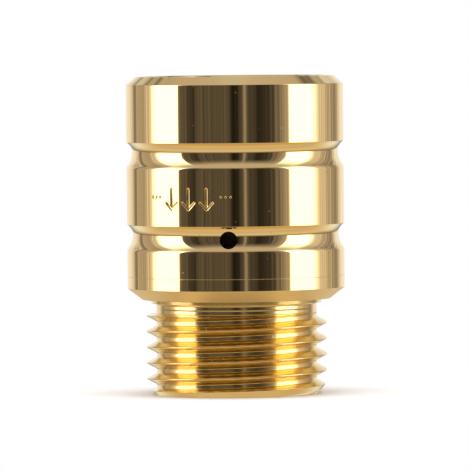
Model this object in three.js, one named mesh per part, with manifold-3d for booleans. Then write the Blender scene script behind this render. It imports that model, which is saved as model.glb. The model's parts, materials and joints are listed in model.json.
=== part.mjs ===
// In-line water regulator: a turned brass fitting with a G 1/2 socket on top and a G 1/2 thread below.
// Millimetres, +Z up the flow axis, origin in the middle of the outlet's end face. Water runs down, from
// the socket through strainer, flow regulator, jets and turbine to the outlet.

import * as THREE from "three";
import { mergeVertices } from "three/addons/utils/BufferGeometryUtils.js";
import Module from "manifold-3d";

const wasm = await Module();
wasm.setup();

const TURN = 2 * Math.PI;

// ---------- Driving dimensions ----------

const ROUND = 28; // facets of a large round face
const SMALL_ROUND = 16; // facets of a small round face
const SECTION_ROUND = 8; // facets of a small hole and of an elastic ring's section
const MESH_HOLE_ROUND = 6; // facets of a hole in the strainer's mesh
const FIT = 0.05; // radial gap between a piece and the bore that holds it

// Parallel pipe thread G 1/2, with flat crests
const PITCH = 1.814;
const SOCKET_MAJOR_R = 10.478;
const SOCKET_MINOR_R = 9.316;
const MALE_MAJOR_R = 10.375;
const THREAD_DEPTH = SOCKET_MAJOR_R - SOCKET_MINOR_R;
const CREST_WIDTH = PITCH / 6;
const FLANK_SLOPE = Math.tan(THREE.MathUtils.degToRad(27.5));
const THREAD_OVERLAP = 0.2; // how far a ridge starts inside the face that it joins or cuts
const HALF_FACET = TURN / ROUND / 2; // keeps a ridge's steps off the edges of the face that it meets

// Outside of the body
const BODY_R = 12.5;
const TOP_Z = 36.5;
const RIM_OUTER_R = 11.42;
const RIM_CHAMFER_Z = 35.57;
const GROOVE_ROOTS_Z = [18.37, 27.82];
const GROOVE_DEPTH = 0.65;
const GROOVE_UPPER_R = 1.32;
const GROOVE_LOWER_R = 2.52;
const GROOVE_LOWER_EDGE = 0.66; // radius of the rounded edge below a groove
const SEAM_Z = 13.56;
const SKIRT_Z = 12.2;
const SKIRT_FOOT_Z = 10.9;
const SKIRT_FOOT_R = 10.8;
const COLLAR_R = 9.78;
const COLLAR_Z = 10.47;
const RELIEF_TOP_R = 9.55;
const RELIEF_FILLET_Z = 10.1; // where the relief starts to widen towards the collar
const MALE_FADE_Z = 9.1; // where the run-out starts to cut the thread down to the relief
const RUN_OUT_SLOPE = 2.5; // radius that it takes off per height
const MALE_CREST_Z = 5.42; // height of a crest on the -X side
const CRESTS_ABOVE = 3; // pitches from that crest up to where the ridge starts
const END_CHAMFER_R = 9.43;
const END_CHAMFER_Z = 1.3;

// Bores of the housing
const SOCKET_MOUTH_R = 10.75;
const SOCKET_MOUTH_DEPTH = 1.2;
const SOCKET_THREAD_END_Z = 28.9;
const SEAT_Z = 26.5;
const CARTRIDGE_BORE_R = 7.9;
const SHOULDER_Z = 22.4;
const STACK_BORE_R = 9.9;
const AIR_HOLE_R = 1.0;
const AIR_HOLE_Z = 18.0;
const AIR_HOLE_AZIMUTH = THREE.MathUtils.degToRad(-94);

// Bores of the nipple, and the heights where the stack changes piece
const OUTLET_BORE_R = 7.25;
const CHAMBER_R = 8.0;
const CHAMBER_SEAT_Z = 10.5;
const SPIGOT_TOP_Z = 16.9;
const AIR_RING_TOP_Z = 20.0;

// O-rings
const O_RING_SECTION_R = 0.42;
const O_RING_GROOVE_DEPTH = 0.87;
const O_RING_GROOVE_WIDTH = 1.3;
const SPIGOT_LAND = 0.7; // height of the spigot above its groove

// Washer and strainer
const WASHER_R = 9.1;
const WASHER_BORE_R = 6.3;
const WASHER_THICKNESS = 2.0;
const STRAINER_WALL = 0.45;
const STRAINER_RIM_HEIGHT = 1.2;
const MESH_LIFT = 0.2; // height of the mesh's edge above the rim's underside
const DOME_HEIGHT = 0.9;
const DOME_THICKNESS = 0.3;
const DOME_HOLE_R = 0.75;
const DOME_HOLE_PITCH = 2.1;
const DOME_HOLE_RINGS = 2;
const DOME_HOLES_ON_FIRST = 6; // each further ring has as many again

// Flow regulator
const LOBES = 8;
const POINTS_PER_LOBE = 6;
const CUP_FLOOR = 1.0;
const CUP_WALL = 0.85;
const CUP_LEDGE = 0.55;
const CUP_HEIGHT = SEAT_Z - SHOULDER_Z;
const COVER_THICKNESS = 0.8;
const COVER_RECESS = 1.0;
const COVER_SLOT_FROM_R = 2.55;
const COVER_SLOT_TO_R = 6.1;
const COVER_SLOT_HALF_WIDTH = 0.5;
const STEM_R = 1.55;
const CORE_R = 2.95;
const LOBE_DEPTH = 0.3;
const ELASTIC_RING_R = 4.4;
const ELASTIC_SECTION_R = 0.8;
const WINDOW_R = 0.75;
const WINDOW_CIRCLE_R = 3.9;

// Jets and air ports
const JETS = 8;
const JET_R = 0.6;
const JET_CIRCLE_R = 4.6;
const JET_SLANT = THREE.MathUtils.degToRad(25);
const JET_PLATE_THICKNESS = 1.5;
const DISH_R = 6.9;
const PORTS = 8;
const PORT_R = 0.5;
const PORT_LENGTH = 3;
const GALLERY_R = 8.8;
const GALLERY_HALF_HEIGHT = 0.7;
const CHAMBER_LINING_R = 7.5;

// Turbine
const AXLE_R = 0.75;
const AXLE_HOLE_R = AXLE_R + FIT;
const AXLE_CHAMFER = 0.15;
const BUSH_R = 1.45;
const BEARING_HUB_R = 2.6;
const UPPER_BUSH_Z = 18.6;
const UPPER_BUSH_LENGTH = 1.6;
const UPPER_POCKET_DEPTH = 1.8;
const LOWER_HUB_HEIGHT = 2.1;
const LOWER_POCKET_DEPTH = 1.5;
const SPIDER_HEIGHT = 1.8;
const SPIDER_RING_WALL = 0.65;
const SPIDER_ARMS = 3;
const SPIDER_ARM_WIDTH = 1.2;
const THRUST_WASHER_R = 2.1;
const THRUST_WASHER_THICKNESS = 0.3;
const ROTOR_HUB_R = 2.2;
const BLADES = 8;
const BLADE_TIP_R = 7.2;
const BLADE_ROOT_R = 1.5;
const BLADE_THICKNESS = 0.7;
const BLADE_CHORD = 3.2;
const BLADE_PITCH = THREE.MathUtils.degToRad(35);
const BLADES_Z = 1.9; // height of the blades' middle above the hub's underside

// ---------- Shape helpers ----------

// Turns a closed outline of [radius, height] points, listed anticlockwise, about the Z axis.
function turned(outline, facets = ROUND) {
  const points = outline.map(([radius, height]) => new THREE.Vector2(radius, height));
  const startsOnAxis = points[0].x === 0;
  const closed = startsOnAxis ? points : [...points, points[0]];
  return new THREE.LatheGeometry(closed, facets).rotateX(Math.PI / 2);
}

// A plain ring that stands on z = 0.
function ring(innerR, outerR, height, facets = ROUND) {
  return turned([[innerR, 0], [outerR, 0], [outerR, height], [innerR, height]], facets);
}

// Points of an arc in the outline plane, angles in degrees.
function arc(centreR, centreZ, radius, from, to, steps) {
  const points = [];
  for (let i = 0; i <= steps; i += 1) {
    const angle = THREE.MathUtils.degToRad(from + ((to - from) * i) / steps);
    points.push([centreR + radius * Math.cos(angle), centreZ + radius * Math.sin(angle)]);
  }
  return points;
}

// The same thing at equal angles round the Z axis.
function around(count, make) {
  return Array.from({ length: count }, (_, i) => make((i / count) * TURN));
}

// A round bar along Z, centred on z = 0.
function bar(radius, length, facets = SMALL_ROUND) {
  return new THREE.CylinderGeometry(radius, radius, length, facets).rotateX(Math.PI / 2);
}

// A geometry as a solid for joining and cutting.
function solid(geometry) {
  const bare = geometry.clone();
  bare.deleteAttribute("normal");
  bare.deleteAttribute("uv");
  const merged = mergeVertices(bare, 1e-4);
  const corners = merged.index.array;
  const triangles = [];
  for (let i = 0; i < corners.length; i += 3) {
    const [a, b, c] = corners.slice(i, i + 3);
    if (a !== b && b !== c && c !== a) triangles.push(a, b, c);
  }
  return new wasm.Manifold(
    new wasm.Mesh({
      numProp: 3,
      vertProperties: new Float32Array(merged.attributes.position.array),
      triVerts: new Uint32Array(triangles),
    }),
  );
}

function joined(geometries) {
  return geometries.map(solid).reduce((sum, next) => sum.add(next));
}

function cut(body, cutters) {
  return cutters.map(solid).reduce((left, cutter) => left.subtract(cutter), body);
}

function geometryOf(body) {
  const { vertProperties, triVerts } = body.getMesh();
  const geometry = new THREE.BufferGeometry();
  geometry.setAttribute("position", new THREE.BufferAttribute(vertProperties, 3));
  geometry.setIndex(new THREE.BufferAttribute(triVerts, 1));
  geometry.computeVertexNormals();
  return geometry;
}

// A right-hand thread ridge: a straight extruded bar, bent round the Z axis from topZ downwards. The bar's
// X becomes the radius, its Y the height and its length the angle.
function threadRidge(baseR, crestR, startAngle, topZ, turns) {
  const halfCrest = CREST_WIDTH / 2;
  const halfBase = halfCrest + (crestR - baseR) * FLANK_SLOPE;
  const section = new THREE.Shape([
    new THREE.Vector2(baseR, -halfBase),
    new THREE.Vector2(crestR, -halfCrest),
    new THREE.Vector2(crestR, halfCrest),
    new THREE.Vector2(baseR, halfBase),
  ]);
  const steps = Math.round(turns * ROUND);
  const depth = (steps / ROUND) * TURN;
  const ridge = new THREE.ExtrudeGeometry(section, { depth, steps, bevelEnabled: false });
  const places = ridge.attributes.position;
  for (let i = 0; i < places.count; i += 1) {
    const radius = places.getX(i);
    const wound = places.getZ(i);
    const angle = startAngle - wound;
    const height = topZ + places.getY(i) - (PITCH * wound) / TURN;
    places.setXYZ(i, radius * Math.cos(angle), radius * Math.sin(angle), height);
  }
  return ridge;
}

// ---------- Materials ----------

const FINISHES = {
  brass: { color: 0xd2a650, roughness: 0.12, metalness: 1.0 },
  steel: { color: 0xb9bcc0, roughness: 0.3, metalness: 1.0 },
  rubber: { color: 0x1d1d1f, roughness: 0.85, metalness: 0.0 },
  whitePlastic: { color: 0xe9e8e2, roughness: 0.45, metalness: 0.0 },
  greyPlastic: { color: 0x8d9298, roughness: 0.5, metalness: 0.0 },
  blackPlastic: { color: 0x1a1a1a, roughness: 0.5, metalness: 0.0 },
};

// ---------- Shell ----------

// Outline of one groove from the band below it up: a rounded edge, a wide arc to the root, and a tight arc
// to the band above.
function grooveOutline(rootZ) {
  const rootR = BODY_R - GROOVE_DEPTH;
  const span = GROOVE_LOWER_R + GROOVE_LOWER_EDGE;
  const drop = Math.sqrt(span ** 2 - (span - GROOVE_DEPTH) ** 2);
  const lowerAngle = THREE.MathUtils.radToDeg(Math.asin(drop / span));
  const upperAngle = THREE.MathUtils.radToDeg(Math.acos(1 - GROOVE_DEPTH / GROOVE_UPPER_R));
  const edge = arc(BODY_R - GROOVE_LOWER_EDGE, rootZ - drop, GROOVE_LOWER_EDGE, 0, lowerAngle, 2);
  const lower = arc(rootR + GROOVE_LOWER_R, rootZ, GROOVE_LOWER_R, 180 + lowerAngle, 180, 3);
  const upper = arc(rootR + GROOVE_UPPER_R, rootZ, GROOVE_UPPER_R, 180, 180 - upperAngle, 3);
  return [...edge, ...lower.slice(1), ...upper.slice(1)];
}

function housing() {
  const blank = turned([
    [STACK_BORE_R, SEAM_Z],
    [BODY_R, SEAM_Z],
    ...GROOVE_ROOTS_Z.flatMap(grooveOutline),
    [BODY_R, RIM_CHAMFER_Z],
    [RIM_OUTER_R, TOP_Z],
    [SOCKET_MOUTH_R, TOP_Z],
    [SOCKET_MINOR_R, TOP_Z - SOCKET_MOUTH_DEPTH],
    [SOCKET_MINOR_R, SEAT_Z],
    [CARTRIDGE_BORE_R, SEAT_Z],
    [CARTRIDGE_BORE_R, SHOULDER_Z],
    [STACK_BORE_R, SHOULDER_Z],
  ]);
  const threadTopZ = TOP_Z + PITCH / 2;
  const threadTurns = (threadTopZ - SOCKET_THREAD_END_Z) / PITCH;
  const thread = threadRidge(
    SOCKET_MINOR_R - THREAD_OVERLAP, SOCKET_MAJOR_R, HALF_FACET, threadTopZ, threadTurns);
  const airHole = bar(AIR_HOLE_R, 2 * (BODY_R - STACK_BORE_R))
    .rotateY(Math.PI / 2)
    .translate((BODY_R + STACK_BORE_R) / 2, 0, AIR_HOLE_Z)
    .rotateZ(AIR_HOLE_AZIMUTH);
  return geometryOf(cut(solid(blank), [thread, airHole]));
}

function outletNipple() {
  const rootR = MALE_MAJOR_R - THREAD_DEPTH;
  const spigotR = STACK_BORE_R - FIT;
  const grooveTopZ = SPIGOT_TOP_Z - SPIGOT_LAND;
  const runOutZ = (radius) => MALE_FADE_Z + (MALE_MAJOR_R - radius) / RUN_OUT_SLOPE;
  const core = turned([
    [OUTLET_BORE_R, 0],
    [rootR, 0],
    [rootR, RELIEF_FILLET_Z],
    [RELIEF_TOP_R, COLLAR_Z],
    [COLLAR_R, COLLAR_Z],
    [COLLAR_R, SKIRT_FOOT_Z],
    [SKIRT_FOOT_R, SKIRT_FOOT_Z],
    [BODY_R, SKIRT_Z],
    [BODY_R, SEAM_Z],
    [spigotR, SEAM_Z],
    [spigotR, grooveTopZ - O_RING_GROOVE_WIDTH],
    [spigotR - O_RING_GROOVE_DEPTH, grooveTopZ - O_RING_GROOVE_WIDTH],
    [spigotR - O_RING_GROOVE_DEPTH, grooveTopZ],
    [spigotR, grooveTopZ],
    [spigotR, SPIGOT_TOP_Z],
    [CHAMBER_R, SPIGOT_TOP_Z],
    [CHAMBER_R, CHAMBER_SEAT_Z],
    [OUTLET_BORE_R, CHAMBER_SEAT_Z],
  ]);
  const ridgeR = rootR - THREAD_OVERLAP;
  const innerR = ridgeR - THREAD_OVERLAP;
  const outerR = MALE_MAJOR_R + THREAD_OVERLAP;
  const chamferSlope = END_CHAMFER_Z / (MALE_MAJOR_R - END_CHAMFER_R);
  const envelope = turned([
    [innerR, 0],
    [END_CHAMFER_R, 0],
    [outerR, chamferSlope * (outerR - END_CHAMFER_R)],
    [outerR, runOutZ(outerR)],
    [innerR, runOutZ(innerR)],
  ]);
  const topCrestZ = MALE_CREST_Z + CRESTS_ABOVE * PITCH;
  const turns = topCrestZ / PITCH + 1;
  const ridge = threadRidge(ridgeR, MALE_MAJOR_R, Math.PI + HALF_FACET, topCrestZ, turns);
  return geometryOf(solid(ridge).intersect(solid(envelope)).add(solid(core)));
}

// An O-ring in a groove under a bore of the stack's radius, centred on z = 0.
function stackORing() {
  const centreR = STACK_BORE_R - FIT / 2 - O_RING_SECTION_R;
  return new THREE.TorusGeometry(centreR, O_RING_SECTION_R, SECTION_ROUND, ROUND);
}

// ---------- Washer with strainer ----------

function strainerMesh() {
  const edgeR = WASHER_BORE_R - STRAINER_WALL - 2 * FIT;
  const underside = [0, 0.5, 1].map((share) => [share * edgeR, DOME_HEIGHT * (1 - share * share)]);
  const upperside = underside.map(([radius, height]) => [radius, height + DOME_THICKNESS]).reverse();
  const dome = solid(turned([...underside, ...upperside], SMALL_ROUND));
  const holes = [bar(DOME_HOLE_R, 2 * DOME_HEIGHT, MESH_HOLE_ROUND).translate(0, 0, DOME_HEIGHT)];
  for (let circle = 1; circle <= DOME_HOLE_RINGS; circle += 1) {
    holes.push(...around(DOME_HOLES_ON_FIRST * circle, (angle) => holes[0].clone()
      .translate(circle * DOME_HOLE_PITCH, 0, 0)
      .rotateZ(angle)));
  }
  return geometryOf(cut(dome, holes));
}

// ---------- Flow regulator ----------

function regulatorBody() {
  const cupR = CARTRIDGE_BORE_R - 2 * FIT;
  const coverSeatR = cupR - CUP_WALL - CUP_LEDGE;
  const coverBoreR = cupR - CUP_WALL;
  const seatZ = CUP_HEIGHT - COVER_RECESS;
  const cup = turned([
    [STEM_R + FIT, 0],
    [cupR, 0],
    [cupR, CUP_HEIGHT],
    [coverBoreR, CUP_HEIGHT],
    [coverBoreR, seatZ],
    [coverSeatR, seatZ],
    [coverSeatR, CUP_FLOOR],
    [STEM_R + FIT, CUP_FLOOR],
  ]);
  const windows = around(LOBES, (angle) => bar(WINDOW_R, 3 * CUP_FLOOR, SECTION_ROUND)
    .translate(WINDOW_CIRCLE_R, 0, 0)
    .rotateZ(angle + TURN / LOBES / 2));
  return geometryOf(cut(solid(cup), windows));
}

function regulatorCore() {
  const outline = around(LOBES * POINTS_PER_LOBE, (angle) => {
    const radius = CORE_R + LOBE_DEPTH * Math.cos(LOBES * angle);
    return new THREE.Vector2(radius * Math.cos(angle), radius * Math.sin(angle));
  });
  const depth = CUP_HEIGHT - COVER_RECESS - CUP_FLOOR;
  const star = new THREE.ExtrudeGeometry(new THREE.Shape(outline), { depth, bevelEnabled: false });
  const stemLength = CUP_HEIGHT - COVER_RECESS + COVER_THICKNESS;
  const stem = bar(STEM_R, stemLength).translate(0, 0, stemLength / 2);
  return geometryOf(joined([star.translate(0, 0, CUP_FLOOR), stem]));
}

function regulatorCover() {
  const coverR = CARTRIDGE_BORE_R - CUP_WALL - 3 * FIT;
  const disc = new THREE.Shape().absarc(0, 0, coverR, 0, TURN);
  disc.holes.push(new THREE.Path().absarc(0, 0, STEM_R + FIT, 0, TURN));
  for (let i = 0; i < LOBES; i += 1) {
    const corners = [
      [COVER_SLOT_FROM_R, -COVER_SLOT_HALF_WIDTH],
      [COVER_SLOT_TO_R, -COVER_SLOT_HALF_WIDTH],
      [COVER_SLOT_TO_R, COVER_SLOT_HALF_WIDTH],
      [COVER_SLOT_FROM_R, COVER_SLOT_HALF_WIDTH],
    ].map(([x, y]) => new THREE.Vector2(x, y).rotateAround(new THREE.Vector2(), (i / LOBES) * TURN));
    disc.holes.push(new THREE.Path(corners));
  }
  return new THREE.ExtrudeGeometry(disc, {
    depth: COVER_THICKNESS,
    curveSegments: ROUND / 2,
    bevelEnabled: false,
  });
}

// ---------- Jets and air ----------

// Heights are measured from the flange's underside.
function jetNozzle() {
  const flangeR = STACK_BORE_R - 2 * FIT;
  const flangeHeight = SHOULDER_Z - AIR_RING_TOP_Z;
  const grooveZ = (flangeHeight - O_RING_GROOVE_WIDTH) / 2;
  const grooveR = flangeR - O_RING_GROOVE_DEPTH;
  const hubZ = UPPER_BUSH_Z - AIR_RING_TOP_Z;
  const plate = turned([
    [0, hubZ + UPPER_POCKET_DEPTH],
    [BUSH_R + FIT, hubZ + UPPER_POCKET_DEPTH],
    [BUSH_R + FIT, hubZ],
    [BEARING_HUB_R, hubZ],
    [BEARING_HUB_R, 0],
    [flangeR, 0],
    [flangeR, grooveZ],
    [grooveR, grooveZ],
    [grooveR, grooveZ + O_RING_GROOVE_WIDTH],
    [flangeR, grooveZ + O_RING_GROOVE_WIDTH],
    [flangeR, flangeHeight],
    [DISH_R, flangeHeight],
    [DISH_R, JET_PLATE_THICKNESS],
    [0, JET_PLATE_THICKNESS],
  ]);
  const jets = around(JETS, (angle) => bar(JET_R, 3 * JET_PLATE_THICKNESS, SECTION_ROUND)
    .rotateX(JET_SLANT)
    .translate(JET_CIRCLE_R, 0, JET_PLATE_THICKNESS / 2)
    .rotateZ(angle));
  return geometryOf(cut(solid(plate), jets));
}

// Heights are measured from the ring's underside.
function airRing() {
  const ringR = STACK_BORE_R - 2 * FIT;
  const height = AIR_RING_TOP_Z - SPIGOT_TOP_Z;
  const galleryZ = AIR_HOLE_Z - SPIGOT_TOP_Z;
  const collar = turned([
    [CHAMBER_LINING_R, 0],
    [ringR, 0],
    [ringR, galleryZ - GALLERY_HALF_HEIGHT],
    [GALLERY_R, galleryZ - GALLERY_HALF_HEIGHT],
    [GALLERY_R, galleryZ + GALLERY_HALF_HEIGHT],
    [ringR, galleryZ + GALLERY_HALF_HEIGHT],
    [ringR, height],
    [CHAMBER_LINING_R, height],
  ]);
  const ports = around(PORTS, (angle) => bar(PORT_R, PORT_LENGTH, SECTION_ROUND)
    .rotateY(Math.PI / 2)
    .translate((CHAMBER_LINING_R + GALLERY_R) / 2, 0, galleryZ)
    .rotateZ(angle + HALF_FACET));
  return geometryOf(cut(solid(collar), ports));
}

// ---------- Turbine ----------

function rotorAxle(length) {
  return turned([
    [0, 0],
    [AXLE_R - AXLE_CHAMFER, 0],
    [AXLE_R, AXLE_CHAMFER],
    [AXLE_R, length - AXLE_CHAMFER],
    [AXLE_R - AXLE_CHAMFER, length],
    [0, length],
  ], SMALL_ROUND);
}

function turbineRotor(hubLength) {
  const bladeLength = BLADE_TIP_R - BLADE_ROOT_R;
  const blades = around(BLADES, (angle) => new THREE.BoxGeometry(bladeLength, BLADE_THICKNESS, BLADE_CHORD)
    .rotateX(BLADE_PITCH)
    .translate(BLADE_ROOT_R + bladeLength / 2, 0, BLADES_Z)
    .rotateZ(angle));
  return geometryOf(joined([ring(AXLE_HOLE_R, ROTOR_HUB_R, hubLength, SMALL_ROUND), ...blades]));
}

function bearingBush(length) {
  return ring(AXLE_HOLE_R, BUSH_R, length, SMALL_ROUND);
}

function thrustWasher() {
  return ring(AXLE_HOLE_R + FIT, THRUST_WASHER_R, THRUST_WASHER_THICKNESS, SMALL_ROUND);
}

function lowerSpider() {
  const outerR = CHAMBER_R - FIT;
  const innerR = outerR - SPIDER_RING_WALL;
  const pocketZ = LOWER_HUB_HEIGHT - LOWER_POCKET_DEPTH;
  const pocketR = BUSH_R + FIT;
  const hub = turned([
    [0, 0],
    [BEARING_HUB_R, 0],
    [BEARING_HUB_R, LOWER_HUB_HEIGHT],
    [pocketR, LOWER_HUB_HEIGHT],
    [pocketR, pocketZ],
    [0, pocketZ],
  ], SMALL_ROUND);
  const armFromR = (pocketR + BEARING_HUB_R) / 2;
  const armToR = (innerR + outerR) / 2;
  const arms = around(SPIDER_ARMS, (angle) => new THREE.BoxGeometry(
    armToR - armFromR, SPIDER_ARM_WIDTH, SPIDER_HEIGHT)
    .translate((armFromR + armToR) / 2, 0, SPIDER_HEIGHT / 2)
    .rotateZ(angle + TURN / 4));
  return geometryOf(joined([ring(innerR, outerR, SPIDER_HEIGHT), hub, ...arms]));
}

// ---------- Assembly ----------

const regulator = new THREE.Group();

// Adds one named sub-part to a group, with its base at height z of that group.
function place(group, name, geometry, finish, z = 0) {
  const mesh = new THREE.Mesh(geometry, new THREE.MeshStandardMaterial(FINISHES[finish]));
  mesh.name = name;
  mesh.position.z = z;
  group.add(mesh);
}

function subGroup(z) {
  const group = new THREE.Group();
  group.position.z = z;
  regulator.add(group);
  return group;
}

const shell = subGroup(0);
place(shell, "housing", housing(), "brass");
place(shell, "outlet_nipple", outletNipple(), "brass");
const spigotGrooveMiddle = SPIGOT_TOP_Z - SPIGOT_LAND - O_RING_GROOVE_WIDTH / 2;
place(shell, "body_o_ring", stackORing(), "rubber", spigotGrooveMiddle);

const inlet = subGroup(SEAT_Z);
place(inlet, "inlet_washer", ring(WASHER_BORE_R, WASHER_R, WASHER_THICKNESS), "rubber");
const strainerRimZ = (WASHER_THICKNESS - STRAINER_RIM_HEIGHT) / 2;
const strainerRimR = WASHER_BORE_R - FIT;
place(inlet, "strainer_rim", ring(strainerRimR - STRAINER_WALL, strainerRimR, STRAINER_RIM_HEIGHT), "steel",
  strainerRimZ);
place(inlet, "strainer_mesh", strainerMesh(), "steel", strainerRimZ + MESH_LIFT);

const cartridge = subGroup(SHOULDER_Z);
place(cartridge, "regulator_body", regulatorBody(), "whitePlastic");
place(cartridge, "regulator_core", regulatorCore(), "greyPlastic");
const elasticRing = new THREE.TorusGeometry(
  ELASTIC_RING_R, ELASTIC_SECTION_R, SECTION_ROUND, ROUND);
place(cartridge, "regulator_ring", elasticRing, "rubber", CUP_FLOOR + ELASTIC_SECTION_R);
place(cartridge, "regulator_cover", regulatorCover(), "whitePlastic", CUP_HEIGHT - COVER_RECESS);

const airStage = subGroup(SPIGOT_TOP_Z);
place(airStage, "air_ring", airRing(), "blackPlastic");
const flangeZ = AIR_RING_TOP_Z - SPIGOT_TOP_Z;
place(airStage, "jet_nozzle", jetNozzle(), "greyPlastic", flangeZ);
place(airStage, "nozzle_o_ring", stackORing(), "rubber", flangeZ + (SHOULDER_Z - AIR_RING_TOP_Z) / 2);

const turbine = subGroup(CHAMBER_SEAT_Z);
const hubZ = LOWER_HUB_HEIGHT + THRUST_WASHER_THICKNESS + 2 * FIT;
const upperBushZ = UPPER_BUSH_Z - CHAMBER_SEAT_Z;
const hubLength = upperBushZ - THRUST_WASHER_THICKNESS - 2 * FIT - hubZ;
const lowerBushZ = LOWER_HUB_HEIGHT - LOWER_POCKET_DEPTH;
const axleZ = lowerBushZ + FIT;
const axleLength = upperBushZ + UPPER_BUSH_LENGTH - FIT - axleZ;
place(turbine, "lower_spider", lowerSpider(), "whitePlastic");
const liningLength = SPIGOT_TOP_Z - CHAMBER_SEAT_Z - SPIDER_HEIGHT;
place(turbine, "spacer_sleeve", ring(CHAMBER_LINING_R, CHAMBER_R - FIT, liningLength), "whitePlastic",
  SPIDER_HEIGHT);
place(turbine, "lower_bush", bearingBush(LOWER_POCKET_DEPTH), "greyPlastic", lowerBushZ);
place(turbine, "lower_thrust_washer", thrustWasher(), "steel", LOWER_HUB_HEIGHT + FIT);
place(turbine, "turbine_rotor", turbineRotor(hubLength), "whitePlastic", hubZ);
place(turbine, "rotor_axle", rotorAxle(axleLength), "steel", axleZ);
place(turbine, "upper_thrust_washer", thrustWasher(), "steel", hubZ + hubLength + FIT);
place(turbine, "upper_bush", bearingBush(UPPER_BUSH_LENGTH), "greyPlastic", upperBushZ);

export default regulator;
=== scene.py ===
"""The looks of an in-line water regulator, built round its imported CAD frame. Shapes are worked out in
millimetres, and turned into metres where a mesh is made."""

import json
import math

import bmesh
import bpy
import numpy as np
from mathutils import Matrix, Vector


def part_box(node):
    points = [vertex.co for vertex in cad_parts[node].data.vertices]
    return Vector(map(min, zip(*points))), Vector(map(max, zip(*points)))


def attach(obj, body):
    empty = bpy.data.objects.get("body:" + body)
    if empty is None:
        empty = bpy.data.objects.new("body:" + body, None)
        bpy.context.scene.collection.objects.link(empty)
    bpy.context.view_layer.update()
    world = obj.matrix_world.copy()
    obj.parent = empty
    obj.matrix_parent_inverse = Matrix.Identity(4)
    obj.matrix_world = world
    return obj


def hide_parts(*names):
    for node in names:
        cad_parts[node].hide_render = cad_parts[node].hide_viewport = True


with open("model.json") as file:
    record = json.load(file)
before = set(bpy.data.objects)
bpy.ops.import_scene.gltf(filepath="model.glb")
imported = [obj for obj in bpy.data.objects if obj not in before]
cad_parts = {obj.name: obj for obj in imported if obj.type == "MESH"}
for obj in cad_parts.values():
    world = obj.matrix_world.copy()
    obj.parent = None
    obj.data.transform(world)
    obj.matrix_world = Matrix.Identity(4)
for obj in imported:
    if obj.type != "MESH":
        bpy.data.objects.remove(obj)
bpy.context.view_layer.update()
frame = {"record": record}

MM = 0.001
TURN = 2 * math.pi
RECORD = frame["record"]
SLOT_OF = {part["node"]: part["material_slot"] for part in RECORD["subparts"]}
BODY_OF = {node: body for body, nodes in RECORD["behaviour"]["bodies"].items() for node in nodes}


def bottom(node):
    """Height of a CAD node's lowest point, in millimetres."""
    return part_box(node)[0].z / MM


def top(node):
    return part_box(node)[1].z / MM


def radius(node):
    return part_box(node)[1].x / MM


# ---------- Driving dimensions, in millimetres ----------

SIDES = 288  # facets of a large round face
SMALL_SIDES = 64
HOLE_SIDES = 32
SECTION_SIDES = 24  # facets of an elastic ring's section
EDGE_STEPS = 5
EDGE = 0.09  # radius of a broken metal edge
SEAM_EDGE = 0.04
SOFT_EDGE = 0.14  # radius of a moulded edge
LONG = 0.4  # a straight stretch of outline longer than this gets guard points
GUARD = 0.02  # their distance from its ends
FIT = 0.05  # radial gap between a piece and the bore that holds it

# Heights and radii read from the frame
BODY_R = radius("housing")
TOP_Z = top("housing")
SEAM_Z = bottom("housing")
SEAT_Z = bottom("inlet_washer")
CUP_Z = bottom("regulator_body")
FLANGE_Z = top("air_ring")
SPIGOT_Z = top("outlet_nipple")
SPIDER_Z = bottom("lower_spider")
CUP_R = radius("regulator_body")
COVER_R = radius("regulator_cover")
STACK_R = radius("jet_nozzle")
LINING_R = radius("spacer_sleeve")
DOME_EDGE_R = radius("strainer_mesh")

# Parallel pipe threads G 1/2
PITCH = 1.814
FLANK = math.radians(27.5)
SOCKET_MAJOR_R = 10.478
SOCKET_MINOR_R = 9.316
MALE_MAJOR_R = 10.375
THREAD_DEPTH = SOCKET_MAJOR_R - SOCKET_MINOR_R
MALE_ROOT_R = MALE_MAJOR_R - THREAD_DEPTH
CREST_ROUNDING, ROOT_FILLET = 0.11, 0.1
THREAD_ROW = 0.05  # height between two rows of points
MALE_CREST_Z = 5.42 - PITCH / 2  # on the +X side
MALE_FADE_Z = 9.1  # where the run-out starts to cut the thread down to the relief
RUN_OUT_SLOPE = 5.0  # radius that it takes off per height
SOCKET_THREAD_END_Z = 28.9

# Outside of the body
RIM_OUTER_R, RIM_CHAMFER_Z = 11.42, 35.57
GROOVE_ROOTS_Z, GROOVE_DEPTH = (18.37, 27.82), 0.65
GROOVE_UPPER_R, GROOVE_UPPER_EDGE = 1.32, 0.09
GROOVE_LOWER_R, GROOVE_LOWER_EDGE = 2.52, 0.66
GROOVE_STEPS = 14
SKIRT_Z, SKIRT_FOOT_Z, SKIRT_FOOT_R = 12.2, 10.9, 10.8
COLLAR_R, COLLAR_Z = 9.78, 10.47
RELIEF_TOP_R, RELIEF_FILLET_Z = 9.55, 10.36
TOOL_MARK, TOOL_FEED = 0.008, 0.5  # height and spacing of the lathe tool's marks on the relief
END_CHAMFER_R, END_CHAMFER_Z = 9.43, 1.3

# Bores
SOCKET_MOUTH_R, SOCKET_MOUTH_DEPTH = 10.75, 1.2
CARTRIDGE_BORE_R, STACK_BORE_R = 7.9, 9.9
OUTLET_BORE_R, OUTLET_BORE_CHAMFER = 7.25, 0.4
CHAMBER_R, CHAMBER_LINING_R = 8.0, 7.5
AIR_HOLE_R, AIR_HOLE_Z, AIR_HOLE_AZIMUTH = 1.0, 18.0, math.radians(-94)

# Mark on the middle band: three arrows that show which way the water flows, between two rows of dots
MARK_AZIMUTH, MARK_Z = math.radians(-115.4), 22.65
MARK_DEPTH, MARK_HALF_WIDTH = 0.16, 0.2
STROKE_START, STROKE_LEVELS = math.radians(78), 6  # the round bottom of a stroke starts almost flat
ARROW_SPACING, ARROW_HALF_HEIGHT, ARROW_BARB = 2.2, 1.15, 0.72
DOTS, DOT_FIRST, DOT_SPACING, DOT_RISE = 3, 3.85, 0.57, 0.24
DOT_LENGTH = 0.01

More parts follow.
